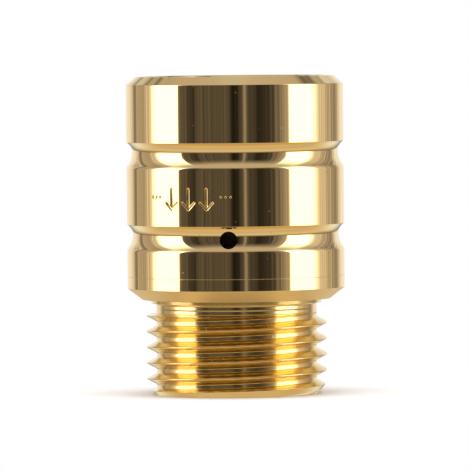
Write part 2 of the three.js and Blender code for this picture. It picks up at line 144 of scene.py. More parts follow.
# O-rings
SECTION_R = 0.42
O_RING_GROOVE_DEPTH, O_RING_GROOVE_WIDTH, SPIGOT_LAND = 0.87, 1.3, 0.7

# Flow regulator
LOBES = 8
STEM_R, CORE_R, LOBE_DEPTH = 1.55, 2.95, 0.3
CORE_SIDES = 24 * LOBES
ELASTIC_RING_R, ELASTIC_SECTION_R = 4.4, 0.8
CUP_FLOOR, CUP_WALL, CUP_LEDGE, COVER_RECESS = 1.0, 0.85, 0.55, 1.0
WINDOW_R, WINDOW_CIRCLE_R = 0.75, 3.9
SLOT_FROM_STEM, SLOT_FROM_EDGE, SLOT_HALF_WIDTH = 1.4, 1.3, 0.5

# Jets and air
JETS, JET_R, JET_CIRCLE_R, JET_SLANT = 8, 0.6, 4.6, math.radians(25)
PLATE_THICKNESS = 1.5
PORTS, PORT_R, GALLERY_R, GALLERY_HALF_HEIGHT = 8, 0.5, 8.8, 0.7
HUB_R, POCKET_R = 2.6, 1.5
DISH_STEP = 1.0  # the dish over the jets is this much narrower than the bore above it

# Turbine
AXLE_HOLE_R, ROTOR_HUB_R = 0.8, 2.2
BLADES, BLADE_ROOT_R, BLADE_TIP_R = 8, 1.5, 7.2
BLADE_CHORD, BLADE_THICKNESS = 3.2, 0.7
BLADE_ROOT_PITCH, BLADE_TIP_PITCH = math.radians(28), math.radians(40)
BLADES_Z = 14.9
BLADE_STATIONS = (0, 0.2, 0.4, 0.6, 0.8, 0.97, 1)  # shares of the way from root to tip
BLADE_TAPER, BLADE_TIP_ROUNDING = 0.3, 0.2
SPIDER_ARMS, SPIDER_ARM_WIDTH = 3, 1.2
SPIDER_RING_WALL, SPIDER_RING_HEIGHT = 0.65, 1.8
ARM_SINK = 0.3  # how far an arm reaches into the ring and into the hub's wall

# Washer, and strainer with its woven dome
WASHER_BORE_R = 6.3
CHANNELS, CHANNEL_DEPTH, CHANNEL_MARGIN = 3, 0.12, 0.5
RIM_WALL, RIM_LIP = 0.25, 0.45
WIRE_R, WIRE_SPACING, WIRE_STEP, WIRE_SIDES = 0.085, 0.62, 0.1, 6
DOME_Z, DOME_HEIGHT = bottom("strainer_mesh") + 0.15, 0.9
DOME_BAND_WALL, DOME_BAND_BELOW, DOME_BAND_ABOVE = 0.3, 0.12, 0.2
WOVEN_SHARE = 0.97  # share of the dome's radius that the outermost wires keep within

CUTTER_REACH = 1.0  # how far a cutter reaches beyond the face that it cuts through


# ---------- Outlines: lists of (radius, height) ----------

def arc(centre_r, centre_z, size, start, stop, steps):
    angles = np.linspace(start, stop, steps + 1)
    return [(centre_r + size * math.cos(a), centre_z + size * math.sin(a)) for a in angles]


def rounded(corners, closed=True):
    """Rounds the corners, each given as (radius, height, edge radius), of an outline."""
    outline = []
    for i, (r, z, edge) in enumerate(corners):
        corner = Vector((r, z))
        if not edge or (not closed and i in (0, len(corners) - 1)):
            outline.append(corner)
            continue
        before = Vector(corners[i - 1][:2]) - corner
        after = Vector(corners[(i + 1) % len(corners)][:2]) - corner
        reach = min(edge / math.tan(before.angle(after) / 2), before.length / 2.1, after.length / 2.1)
        start = corner + before.normalized() * reach
        end = corner + after.normalized() * reach
        for t in np.linspace(0, 1, EDGE_STEPS + 1):
            outline.append(start * (1 - t) ** 2 + corner * 2 * t * (1 - t) + end * t**2)
    return guarded(outline, closed)


def guarded(outline, closed):
    """Adds a point near each end of every long stretch, so that smooth shading keeps it straight."""
    kept = []
    for i, point in enumerate(outline):
        kept.append(point)
        stretch = outline[(i + 1) % len(outline)] - point
        if stretch.length > LONG and (closed or i + 1 < len(outline)):
            guard = stretch.normalized() * GUARD
            kept += [point + guard, point + stretch - guard]
    return [tuple(point) for point in kept]


def eased(corners, edge):
    """Gives every (radius, height) corner the same edge radius."""
    return [(r, z, edge) for r, z in corners]


def groove_side(root_z, size, edge_size, side):
    """One side of a band groove, from the band to the root: a rounded edge, then an arc that ends upright at
    the root. Side is 1 above the root and -1 below it."""
    span = size + edge_size
    rise = side * math.sqrt(span**2 - (span - GROOVE_DEPTH) ** 2)
    slope = math.atan2(rise, span - GROOVE_DEPTH)
    edge = arc(BODY_R - edge_size, root_z + rise, edge_size, 0, -slope, EDGE_STEPS)
    hollow = arc(BODY_R - GROOVE_DEPTH + size, root_z, size,
                 side * math.pi - slope, side * math.pi, GROOVE_STEPS)
    return edge[:-1] + hollow


def groove(root_z):
    """A band groove from its lower edge up: a wide arc to the root, then a tight one."""
    lower = groove_side(root_z, GROOVE_LOWER_R, GROOVE_LOWER_EDGE, -1)
    upper = groove_side(root_z, GROOVE_UPPER_R, GROOVE_UPPER_EDGE, 1)
    return eased(lower + upper[-2::-1], 0)


def thread_depth(angle, height):
    """How far a right-hand thread's surface lies below its crest, which passes height 0 at angle 0. Straight
    flanks join a rounded crest to a flat root with a small fillet on either side."""
    apex = CREST_ROUNDING * (1 / math.sin(FLANK) - 1)
    root_edge = (THREAD_DEPTH + apex) * math.tan(FLANK) + ROOT_FILLET * math.tan((TURN / 4 - FLANK) / 2)
    offset = np.abs((height / PITCH - angle / TURN + 0.5) % 1 - 0.5) * PITCH
    from_root = np.maximum(root_edge - offset, 0)
    crest = CREST_ROUNDING - np.sqrt(np.maximum(CREST_ROUNDING**2 - offset**2, 0))
    root = THREAD_DEPTH - ROOT_FILLET + np.sqrt(np.maximum(ROOT_FILLET**2 - from_root**2, 0))
    depth = np.where(offset < CREST_ROUNDING * math.cos(FLANK), crest, offset / math.tan(FLANK) - apex)
    return np.where(from_root < ROOT_FILLET * math.cos(FLANK), root, depth)


def male_thread_r(angle, height):
    """Radius of the nipple's thread with its end chamfer and its run-out, and of the relief above it."""
    full = MALE_MAJOR_R - thread_depth(angle, height - MALE_CREST_Z)
    chamfer = END_CHAMFER_R + height * (MALE_MAJOR_R - END_CHAMFER_R) / END_CHAMFER_Z
    run_out = MALE_MAJOR_R - (height - MALE_FADE_Z) * RUN_OUT_SLOPE
    fillet = np.maximum(height - RELIEF_FILLET_Z, 0) / (COLLAR_Z - RELIEF_FILLET_Z)
    marks = TOOL_MARK * np.cos(TURN * (COLLAR_Z - height) / TOOL_FEED)
    relief = MALE_ROOT_R + marks + (RELIEF_TOP_R - MALE_ROOT_R) * fillet**2
    found = np.minimum(full, np.minimum(chamfer, run_out))
    found = np.where(height > MALE_FADE_Z, np.maximum(found, relief), found)
    return np.where((height >= 0) & (height <= COLLAR_Z), found, np.nan)


def socket_thread_r(angle, height):
    """Radius of the socket's thread, with its countersunk mouth and its run-out."""
    full = SOCKET_MAJOR_R - thread_depth(angle, height - TOP_Z - PITCH / 2)
    slope = (SOCKET_MOUTH_R - SOCKET_MINOR_R) / SOCKET_MOUTH_DEPTH
    mouth = SOCKET_MOUTH_R - (TOP_Z - height) * slope
    run_out = SOCKET_MINOR_R + height - SOCKET_THREAD_END_Z
    found = np.maximum(np.minimum(full, run_out), mouth)
    return np.where((height >= SOCKET_THREAD_END_Z) & (height < TOP_Z), found, np.nan)


def band_r(angle, height):
    return np.full_like(height, BODY_R)


def thread_rows(radius_at, low, high):
    angles = np.arange(SIDES) * TURN / SIDES
    heights = np.linspace(low, high, round(abs(high - low) / THREAD_ROW) + 1)
    return [(radius_at(angles, np.full(SIDES, z)), z) for z in heights]


# ---------- Meshes ----------

def mesh_object(name, vertices, faces):
    mesh = bpy.data.meshes.new(name)
    mesh.from_pydata((np.asarray(vertices) * MM).tolist(), [], faces)
    piece = bpy.data.objects.new(name, mesh)
    bpy.context.scene.collection.objects.link(piece)
    work = bmesh.new()
    work.from_mesh(mesh)
    bmesh.ops.recalc_face_normals(work, faces=work.faces)
    work.to_mesh(mesh)
    work.free()
    return smooth(piece)


def smooth(piece, sharp_from=30):
    piece.data.shade_smooth()
    piece.data.set_sharp_from_angle(angle=math.radians(sharp_from))
    return piece


def turned(name, rows, sides=SIDES, capped=False):
    """A body through rows of (radius, height), where a radius is one number or one for each side. Its last
    row meets its first, unless it is capped: then flat faces close both ends."""
    angles = np.arange(sides) * TURN / sides
    vertices = [(r * np.cos(angles), r * np.sin(angles), np.full(sides, z)) for r, z in rows]
    vertices = np.array(vertices).transpose(0, 2, 1).reshape(-1, 3)
    count = len(rows)
    row, side = np.meshgrid(np.arange(count - capped), np.arange(sides), indexing="ij")
    above, beside = (row + 1) % count, (side + 1) % sides
    quads = [row * sides + side, row * sides + beside, above * sides + beside, above * sides + side]
    faces = np.stack(quads, axis=-1).reshape(-1, 4).tolist()
    if capped:
        last = (count - 1) * sides
        faces += [list(range(sides)), list(range(last, last + sides))]
    return mesh_object(name, vertices, faces)


def ring(name, inner_r, outer_r, low, high, edge=EDGE, sides=SIDES):
    corners = [(inner_r, low), (outer_r, low), (outer_r, high), (inner_r, high)]
    return turned(name, rounded(eased(corners, edge)), sides)


def torus(name, centre_r, centre_z, size):
    return turned(name, arc(centre_r, centre_z, size, 0, TURN, SECTION_SIDES)[:-1])


def rod(name, size, low, high, edge=0.0, sides=SMALL_SIDES):
    """A round bar along Z with broken edges."""
    if not edge:
        return turned(name, [(size, low), (size, high)], sides, capped=True)
    steps = EDGE_STEPS - 1
    lower = arc(size - edge, low + edge, edge, -TURN / 4, 0, steps)
    upper = arc(size - edge, high - edge, edge, 0, TURN / 4, steps)
    return turned(name, lower + upper, sides, capped=True)


def loft(name, loops):
    """A body through loops of equally many points, with flat ends."""
    count = len(loops[0])
    faces = [list(range(count)), list(range((len(loops) - 1) * count, len(loops) * count))]
    for level in range(len(loops) - 1):
        for i in range(count):
            here, beside = level * count + i, level * count + (i + 1) % count
            faces.append([here, beside, beside + count, here + count])
    return mesh_object(name, [point for loop in loops for point in loop], faces)


def stadium(start, end, half_width, steps=8):
    """Points round a flat straight stroke with round ends."""
    along = math.atan2(end[1] - start[1], end[0] - start[0])
    points = []
    for centre, first in ((end, along - TURN / 4), (start, along + TURN / 4)):
        points += arc(*centre, half_width, first, first + TURN / 2, steps)
    return points


def moved(piece, matrix):
    """Moves a mesh itself, with the matrix's shift in millimetres."""
    matrix = matrix.copy()
    matrix.translation *= MM
    piece.data.transform(matrix)
    return piece


def around(count, make):
    """The same thing at equal angles round the Z axis."""
    return [moved(make(), Matrix.Rotation(i * TURN / count, 4, "Z")) for i in range(count)]


def combined(piece, others, operation):
    """Joins others to a piece, or cuts them from it."""
    for other in others:
        modifier = piece.modifiers.new(operation, "BOOLEAN")
        modifier.operation = operation
        modifier.solver = "MANIFOLD"
        modifier.object = other
    graph = bpy.context.evaluated_depsgraph_get()
    mesh = bpy.data.meshes.new_from_object(piece.evaluated_get(graph))
    piece.modifiers.clear()
    piece.data = mesh
    for other in others:
        bpy.data.objects.remove(other)
    return smooth(piece)


def cut(piece, cutters):
    return combined(piece, cutters, "DIFFERENCE")


def joined(piece, others):
    return combined(piece, others, "UNION")


def true_normals(piece, surfaces):
    """Sets exact shading normals on faces of known surfaces: functions from angle and height to radius."""
    mesh = piece.data
    points = np.empty(3 * len(mesh.vertices))
    mesh.vertices.foreach_get("co", points)
    x, y, height = points.reshape(-1, 3).T / MM
    angle, distance = np.arctan2(y, x), np.hypot(x, y)
    corners = np.empty(len(mesh.loops), int)
    mesh.loops.foreach_get("vertex_index", corners)
    starts = np.empty(len(mesh.polygons), int)
    mesh.polygons.foreach_get("loop_start", starts)
    facing = np.empty(3 * len(mesh.polygons))
    mesh.polygons.foreach_get("normal", facing)
    counts = np.diff([*starts, len(corners)])
    facing = np.repeat(facing.reshape(-1, 3), counts, axis=0)
    outwards = np.stack([np.cos(angle), np.sin(angle), 0 * angle], axis=1)
    along = np.stack([-np.sin(angle), np.cos(angle), 0 * angle], axis=1)
    normals = np.zeros((len(corners), 3))
    step, tolerance = 0.001, 0.002
    for radius_at in surfaces:
        on_surface = np.abs(distance - radius_at(angle, height)) < tolerance
        whole = np.repeat(np.minimum.reduceat(on_surface[corners], starts), counts)
        rise = (radius_at(angle, height + step) - radius_at(angle, height - step)) / (2 * step)
        turn = (radius_at(angle + step, height) - radius_at(angle - step, height)) / (2 * step)
        exact = outwards - along * (turn / distance)[:, None] - np.outer(rise, (0, 0, 1))
        exact = (exact / np.linalg.norm(exact, axis=1, keepdims=True))[corners]
        exact *= np.sign((exact * facing).sum(axis=1))[:, None]
        usable = whole & np.isfinite(exact).all(axis=1)
        normals[usable] = exact[usable]
    mesh.normals_split_custom_set(normals.tolist())
    return piece


# ---------- Shell ----------

def wrapped(points, distance):
    """Wraps points of the flat mark round the axis, at a distance from it."""
    angles = [MARK_AZIMUTH + across / BODY_R for across, _ in points]
    return [(distance * math.cos(a), distance * math.sin(a), MARK_Z + up)
            for a, (_, up) in zip(angles, points)]


def stroke(start, end, half_width=MARK_HALF_WIDTH):
    """A cutter for one round-nosed stroke of the mark."""
    loops = []
    for angle in np.linspace(STROKE_START, 0, STROKE_LEVELS):
        outline = stadium(start, end, half_width * math.cos(angle))
        loops.append(wrapped(outline, BODY_R - MARK_DEPTH * math.sin(angle)))
    loops.append(wrapped(stadium(start, end, half_width), BODY_R + MARK_DEPTH))
    return loft("cutter", loops)


def mark_cutters():
    cutters = []
    for across in (-ARROW_SPACING, 0, ARROW_SPACING):
        point = (across, -ARROW_HALF_HEIGHT)
        cutters.append(stroke((across, ARROW_HALF_HEIGHT), point))
        for side in (-1, 1):
            cutters.append(stroke((across + side * ARROW_BARB, ARROW_BARB - ARROW_HALF_HEIGHT), point))
    for side in (-1, 1):
        for i in range(DOTS):
            across = side * (DOT_FIRST + i * DOT_SPACING)
            cutters.append(stroke((across, DOT_RISE), (across + DOT_LENGTH, DOT_RISE)))
    return cutters


def housing():
    outline = rounded([
        (SOCKET_MINOR_R, SOCKET_THREAD_END_Z, 0),
        (SOCKET_MINOR_R, SEAT_Z, 2 * EDGE),
        *eased([(CARTRIDGE_BORE_R, SEAT_Z), (CARTRIDGE_BORE_R, CUP_Z), (STACK_BORE_R, CUP_Z)], EDGE),
        *eased([(STACK_BORE_R, SEAM_Z), (BODY_R, SEAM_Z)], SEAM_EDGE),
        *groove(GROOVE_ROOTS_Z[0]),
        *groove(GROOVE_ROOTS_Z[1]),
        *eased([(BODY_R, RIM_CHAMFER_Z), (RIM_OUTER_R, TOP_Z), (SOCKET_MOUTH_R, TOP_Z)], EDGE),
        (SOCKET_MINOR_R, TOP_Z - SOCKET_MOUTH_DEPTH, 0),
    ], closed=False)
    thread = thread_rows(socket_thread_r, TOP_Z - SOCKET_MOUTH_DEPTH / 4, SOCKET_THREAD_END_Z)[:-1]
    body = turned("housing_shown", outline[:-2] + thread)
    air_hole = moved(
        rod("cutter", AIR_HOLE_R, STACK_BORE_R - CUTTER_REACH, BODY_R + CUTTER_REACH),
        Matrix.Translation((0, 0, AIR_HOLE_Z))
        @ Matrix.Rotation(AIR_HOLE_AZIMUTH, 4, "Z")
        @ Matrix.Rotation(TURN / 4, 4, "Y"),
    )
    return true_normals(cut(body, [air_hole, *mark_cutters()]), [band_r, socket_thread_r])


def outlet_nipple():
    spigot_r = STACK_BORE_R - FIT
    groove_r = spigot_r - O_RING_GROOVE_DEPTH
    groove_top = SPIGOT_Z - SPIGOT_LAND
    groove_bottom = groove_top - O_RING_GROOVE_WIDTH
    outline = rounded([
        (RELIEF_TOP_R, COLLAR_Z, 0),
        *eased([(COLLAR_R, COLLAR_Z), (COLLAR_R, SKIRT_FOOT_Z)], EDGE / 2),
        *eased([(SKIRT_FOOT_R, SKIRT_FOOT_Z), (BODY_R, SKIRT_Z)], EDGE / 2),
        *eased([(BODY_R, SEAM_Z), (spigot_r, SEAM_Z)], SEAM_EDGE),
        *eased([(spigot_r, groove_bottom), (groove_r, groove_bottom)], EDGE),
        *eased([(groove_r, groove_top), (spigot_r, groove_top), (spigot_r, SPIGOT_Z)], EDGE),
        *eased([(CHAMBER_R, SPIGOT_Z), (CHAMBER_R, SPIDER_Z), (OUTLET_BORE_R, SPIDER_Z)], EDGE),
        *eased([(OUTLET_BORE_R, OUTLET_BORE_CHAMFER), (OUTLET_BORE_R + OUTLET_BORE_CHAMFER, 0)], EDGE),
        (MALE_ROOT_R, 0, 0),
    ], closed=False)
    thread = thread_rows(male_thread_r, 0, COLLAR_Z)[:-1]
    return true_normals(turned("outlet_nipple_shown", outline[:-1] + thread), [male_thread_r])


def stack_o_ring(name):
    middle = (bottom(name) + top(name)) / 2
    return torus(f"{name}_shown", radius(name) - SECTION_R, middle, SECTION_R)


# ---------- Washer with strainer ----------

def inlet_washer():
    """A flat washer with two fine sealing ribs left proud between three shallow channels, on both faces."""
    outer_r, low, high = radius("inlet_washer"), SEAT_Z, top("inlet_washer")
    edges = np.linspace(WASHER_BORE_R + CHANNEL_MARGIN, outer_r - CHANNEL_MARGIN, 2 * CHANNELS)
    underside, upperside = [], []
    for i, r in enumerate(edges):
        steps = (0, CHANNEL_DEPTH) if i % 2 == 0 else (CHANNEL_DEPTH, 0)
        underside += [(r, low + rise) for rise in steps]
        upperside += [(r, high - rise) for rise in steps]
    lower = [(WASHER_BORE_R, low), *underside, (outer_r, low)]
    upper = [(outer_r, high), *upperside[::-1], (WASHER_BORE_R, high)]
    return turned("inlet_washer_shown", rounded(eased(lower + upper, SOFT_EDGE / 2)))


def strainer_rim():
    """A rolled ring with a bead inside that holds the mesh."""
    outer_r, low, high = radius("strainer_rim"), bottom("strainer_rim"), top("strainer_rim")
    inner_r, lip_r = outer_r - RIM_WALL, outer_r - RIM_LIP
    inner_low, inner_high = low + RIM_WALL, high - RIM_WALL
    corners = [
        (lip_r, low), (outer_r, low), (outer_r, high), (lip_r, high),
        (lip_r, inner_high), (inner_r, inner_high), (inner_r, inner_low), (lip_r, inner_low),
    ]
    return turned("strainer_rim_shown", rounded(eased(corners, EDGE)))


def wire(at, phase, across):
    """One wire of the woven dome: it runs along X at Y = at, or along Y at X = at where across is true."""
    reach = math.sqrt(DOME_EDGE_R**2 - at**2)
    loops = []
    for along in np.linspace(-reach, reach, max(2, round(2 * reach / WIRE_STEP))):
        share = (along**2 + at**2) / DOME_EDGE_R**2
        wave = phase * WIRE_R * math.cos(math.pi * along / WIRE_SPACING)
        height = DOME_Z + DOME_HEIGHT * (1 - share) + wave
        section = arc(at, height, WIRE_R, 0, TURN, WIRE_SIDES)[:-1]
        loops.append([(side, along, z) if across else (along, side, z) for side, z in section])
    return loops


def strainer_mesh():
    """Two layers of crossing wires, each over and under the other, in a band."""
    count = int(WOVEN_SHARE * DOME_EDGE_R / WIRE_SPACING)
    wires = []
    for across in (False, True):
        for i in range(-count, count + 1):
            phase = (-1) ** i * (-1 if across else 1)
            wires.append(loft("wire", wire(i * WIRE_SPACING, phase, across)))
    band = ring("strainer_mesh_shown", DOME_EDGE_R - DOME_BAND_WALL, DOME_EDGE_R,
                DOME_Z - DOME_BAND_BELOW, DOME_Z + DOME_BAND_ABOVE)
    return joined(band, wires)


# ---------- Flow regulator ----------

def regulator_body():
    stem_bore_r = STEM_R + FIT
    cover_bore_r = CUP_R - CUP_WALL
    ledge_r = cover_bore_r - CUP_LEDGE
    cup_top = top("regulator_body")
    ledge_z, floor_z = cup_top - COVER_RECESS, CUP_Z + CUP_FLOOR
    cup = turned("regulator_body_shown", rounded(eased([
        (stem_bore_r, CUP_Z), (CUP_R, CUP_Z), (CUP_R, cup_top), (cover_bore_r, cup_top),
        (cover_bore_r, ledge_z), (ledge_r, ledge_z), (ledge_r, floor_z), (stem_bore_r, floor_z),
    ], SOFT_EDGE)))
    half_step = Matrix.Rotation(TURN / LOBES / 2, 4, "Z")
    place = half_step @ Matrix.Translation((WINDOW_CIRCLE_R, 0, 0))
    reach = (CUP_Z - CUTTER_REACH, floor_z + CUTTER_REACH)
    windows = around(LOBES, lambda: moved(rod("cutter", WINDOW_R, *reach, 0, HOLE_SIDES), place))
    return cut(cup, windows)


def regulator_core():
    """A stem through a lobed collar."""
    angles = np.arange(CORE_SIDES) * TURN / CORE_SIDES
    lobed = CORE_R + LOBE_DEPTH * np.cos(LOBES * angles)
    low, high = bottom("regulator_core"), top("regulator_core")
    collar_low = low + CUP_FLOOR
    collar_high = top("regulator_body") - COVER_RECESS
    rows = [(STEM_R - EDGE, low), (STEM_R, low + EDGE), (STEM_R, collar_low)]
    rows += [(lobed - SOFT_EDGE, collar_low), (lobed, collar_low + SOFT_EDGE)]
    rows += [(lobed, collar_high - SOFT_EDGE), (lobed - SOFT_EDGE, collar_high)]
    rows += [(STEM_R, collar_high), (STEM_R, high - EDGE), (STEM_R - EDGE, high)]
    return turned("regulator_core_shown", rows, CORE_SIDES, capped=True)


def regulator_ring():
    return torus("regulator_ring_shown", ELASTIC_RING_R, CUP_Z + CUP_FLOOR + ELASTIC_SECTION_R,
                 ELASTIC_SECTION_R)


def regulator_cover():
    low, high = bottom("regulator_cover"), top("regulator_cover")
    outline = stadium((STEM_R + SLOT_FROM_STEM, 0), (COVER_R - SLOT_FROM_EDGE, 0), SLOT_HALF_WIDTH)
    loops = [[(x, y, z) for x, y in outline] for z in (low - CUTTER_REACH, high + CUTTER_REACH)]
    slots = around(LOBES, lambda: loft("cutter", loops))
    return cut(ring("regulator_cover_shown", STEM_R + FIT, COVER_R, low, high, SOFT_EDGE), slots)


# ---------- Jets and air ----------

def jet_nozzle():
    groove_r = STACK_R - O_RING_GROOVE_DEPTH
    hub_z, high = bottom("jet_nozzle"), top("jet_nozzle")
    groove_z = (FLANGE_Z + high - O_RING_GROOVE_WIDTH) / 2
    pocket_z = top("upper_bush") + FIT
    dish_r, dish_z = CARTRIDGE_BORE_R - DISH_STEP, FLANGE_Z + PLATE_THICKNESS
    plate = turned("jet_nozzle_shown", rounded(eased([
        (POCKET_R - EDGE, pocket_z), (POCKET_R, pocket_z), (POCKET_R, hub_z), (HUB_R, hub_z),
        (HUB_R, FLANGE_Z), (STACK_R, FLANGE_Z), (STACK_R, groove_z), (groove_r, groove_z),
        (groove_r, groove_z + O_RING_GROOVE_WIDTH), (STACK_R, groove_z + O_RING_GROOVE_WIDTH),
        (STACK_R, high), (dish_r, high), (dish_r, dish_z), (dish_r - DISH_STEP, dish_z),
    ], SOFT_EDGE / 2), closed=False), capped=True)
    place = Matrix.Translation((JET_CIRCLE_R, 0, FLANGE_Z + PLATE_THICKNESS / 2))
    place = place @ Matrix.Rotation(JET_SLANT, 4, "X")
    reach = (-2 * CUTTER_REACH, 2 * CUTTER_REACH)
    return cut(plate, around(JETS, lambda: moved(rod("cutter", JET_R, *reach, 0, HOLE_SIDES), place)))


def air_ring():
    low = bottom("air_ring")
    collar = turned("air_ring_shown", rounded(eased([
        (CHAMBER_LINING_R, low), (STACK_R, low), (STACK_R, AIR_HOLE_Z - GALLERY_HALF_HEIGHT),
        (GALLERY_R, AIR_HOLE_Z - GALLERY_HALF_HEIGHT), (GALLERY_R, AIR_HOLE_Z + GALLERY_HALF_HEIGHT),
        (STACK_R, AIR_HOLE_Z + GALLERY_HALF_HEIGHT), (STACK_R, FLANGE_Z), (CHAMBER_LINING_R, FLANGE_Z),
    ], SOFT_EDGE / 2)))
    place = Matrix.Rotation(TURN / PORTS / 2, 4, "Z") @ Matrix.Translation((0, 0, AIR_HOLE_Z))
    place = place @ Matrix.Rotation(TURN / 4, 4, "Y")
    reach = (CHAMBER_LINING_R - CUTTER_REACH, GALLERY_R + CUTTER_REACH / 2)
    return cut(collar, around(PORTS, lambda: moved(rod("cutter", PORT_R, *reach, 0, HOLE_SIDES), place)))


# ---------- Turbine ----------

def blade():
    """A twisted blade with rounded edges, from inside the hub out along +X."""
    loops = []
    half_straight = (BLADE_CHORD - BLADE_THICKNESS) / 2
    for share in BLADE_STATIONS:
        pitch = BLADE_ROOT_PITCH + share * (BLADE_TIP_PITCH - BLADE_ROOT_PITCH)
        thickness = BLADE_THICKNESS * (1 - BLADE_TAPER * share)
        thickness -= BLADE_TIP_ROUNDING if share == 1 else 0
        end = (-half_straight * math.sin(pitch), half_straight * math.cos(pitch))
        outline = stadium((-end[0], -end[1]), end, thickness / 2)
        out = BLADE_ROOT_R + share * (BLADE_TIP_R - BLADE_ROOT_R)
        loops.append([(out, y, BLADES_Z + z) for y, z in outline])
    return loft("blade", loops)


def turbine_rotor():
    low, high = bottom("turbine_rotor"), top("turbine_rotor")
    hub = ring("turbine_rotor_shown", AXLE_HOLE_R, ROTOR_HUB_R, low, high, 3 * EDGE, SMALL_SIDES)
    return joined(hub, around(BLADES, blade))


def small_ring(node, inner_r, edge):
    return ring(f"{node}_shown", inner_r, radius(node), bottom(node), top(node), edge, SMALL_SIDES)


def lower_spider():
    outer_r = CHAMBER_R - FIT
    inner_r = outer_r - SPIDER_RING_WALL
    ring_top, hub_top = SPIDER_Z + SPIDER_RING_HEIGHT, top("lower_spider")
    pocket_z = bottom("lower_bush")
    carrier = ring("lower_spider_shown", inner_r, outer_r, SPIDER_Z, ring_top, SOFT_EDGE)
    hub = turned("hub", rounded(eased([
        (HUB_R - 1, SPIDER_Z), (HUB_R, SPIDER_Z), (HUB_R, hub_top), (POCKET_R, hub_top),
        (POCKET_R, pocket_z), (POCKET_R - 0.5, pocket_z),
    ], SOFT_EDGE), closed=False), SMALL_SIDES, capped=True)
    half_width = SPIDER_ARM_WIDTH / 2
    section = stadium((0, SPIDER_Z + half_width), (0, ring_top - half_width), half_width)
    ends = (POCKET_R + ARM_SINK, inner_r + ARM_SINK)
    loops = [[(across, out, z) for across, z in section] for out in ends]
    return joined(carrier, [hub, *around(SPIDER_ARMS, lambda: loft("arm", loops))])


def rotor_axle():
    return rod("rotor_axle_shown", radius("rotor_axle"), bottom("rotor_axle"), top("rotor_axle"), EDGE)


# ---------- Materials ----------

class Graph:
    """A node tree and short ways to add to it."""

    def __init__(self, tree):
        self.tree, self.nodes = tree, tree.nodes

    def add(self, kind, settings=(), **inputs):
        """Adds a node. An input is called by its name, or by _ and its number."""
        node = self.nodes.new(kind)
        for setting, value in dict(settings).items():
            setattr(node, setting, value)
        for name, value in inputs.items():
            self.feed(node.inputs[int(name[1:]) if name[0] == "_" else name.replace("_", " ")], value)
        return node

    def feed(self, socket, value):
        if isinstance(value, bpy.types.NodeSocket):
            self.tree.links.new(value, socket)
        else:
            socket.default_value = value

    def math(self, operation, first, second=0.0):
        return self.add("ShaderNodeMath", {"operation": operation}, _0=first, _1=second).outputs[0]

    def total(self, *values):
        result = values[0]
        for value in values[1:]:
            result = self.math("ADD", result, value)
        return result

    def product(self, *values):
        result = values[0]
        for value in values[1:]:
            result = self.math("MULTIPLY", result, value)
        return result

    def vector(self, operation, first, second=(0, 0, 0)):
        return self.add("ShaderNodeVectorMath", {"operation": operation}, _0=first, _1=second).outputs[0]

    def scaled(self, vector, scale):
        return self.add("ShaderNodeVectorMath", {"operation": "SCALE"}, _0=vector, Scale=scale).outputs[0]

    def length(self, vector):
        return self.add("ShaderNodeVectorMath", {"operation": "LENGTH"}, _0=vector).outputs["Value"]

    def split(self, vector):
        return self.add("ShaderNodeSeparateXYZ", Vector=vector).outputs

    def noise(self, vector, scale, detail=3.0):
        return self.add("ShaderNodeTexNoise", Vector=vector, Scale=scale, Detail=detail).outputs[0]

    def ranged(self, value, low, high, to_low=0.0, to_high=1.0):
        """Maps low..high to to_low..to_high, and holds it there outside."""
        node = self.add("ShaderNodeMapRange", Value=value, From_Min=low, From_Max=high)
        self.feed(node.inputs["To Min"], to_low)
        self.feed(node.inputs["To Max"], to_high)
        return node.outputs[0]

    def mixed(self, share, first, second):
        return self.add("ShaderNodeMix", {"data_type": "RGBA"}, _0=share, _6=first, _7=second).outputs[2]

    def ramp(self, value, stops, low, high, highest):
        """A level that runs straight between (place, level) stops, from place low to place high."""
        node = self.add("ShaderNodeValToRGB", Fac=self.ranged(value, low, high))
        elements = node.color_ramp.elements
        elements.remove(elements[0])
        for i, (place, level) in enumerate(stops):
            element = elements.new((place - low) / (high - low)) if i else elements[0]
            element.position = (place - low) / (high - low)
            element.color = (level / highest, level / highest, level / highest, 1)
        return self.math("MULTIPLY", node.outputs[0], highest)


class Finish(Graph):
    """A node material."""

    def __init__(self, name):
        self.material = bpy.data.materials.new(name)
        self.material.use_nodes = True
        super().__init__(self.material.node_tree)
        self.surface = self.nodes["Principled BSDF"]
        self.place = self.add("ShaderNodeTexCoord").outputs["Object"]

    def set(self, **inputs):
        for name, value in inputs.items():
            self.feed(self.surface.inputs[name.replace("_", " ")], value)

    def bumped(self, height, distance):
        self.set(Normal=self.add("ShaderNodeBump", Height=height, Distance=distance).outputs[0])


def specks(finish, scale, size):
    """1 in small scattered spots, 0 elsewhere."""
    cells = finish.add("ShaderNodeTexVoronoi", Vector=finish.place, Scale=scale)
    return finish.ranged(cells.outputs["Distance"], size, size * 0.6, 0, 1)


def turning_marks(finish, depth):
    """Tilts the surface slightly to and fro along its outline, as a lathe tool leaves it."""
    across = finish.vector("MULTIPLY", finish.place, (1, 1, 0))
    out = finish.vector("NORMALIZE", across)
    along = finish.math("ADD", finish.split(finish.place)["Z"], finish.length(across))
    line = finish.add("ShaderNodeCombineXYZ", X=along, Y=0.0, Z=0.0).outputs[0]
    marks = finish.ranged(finish.noise(line, 2500, 4), 0, 1, -depth, depth)
    tilt = finish.scaled(finish.vector("ADD", out, (0, 0, 1)), marks)
    normal = finish.add("ShaderNodeNewGeometry").outputs["Normal"]
    finish.set(Normal=finish.vector("NORMALIZE", finish.vector("ADD", normal, tilt)))


SKIRT_DULLNESS, THREAD_DULLNESS = 0.5, 0.11  # roughness on top of the polished bands


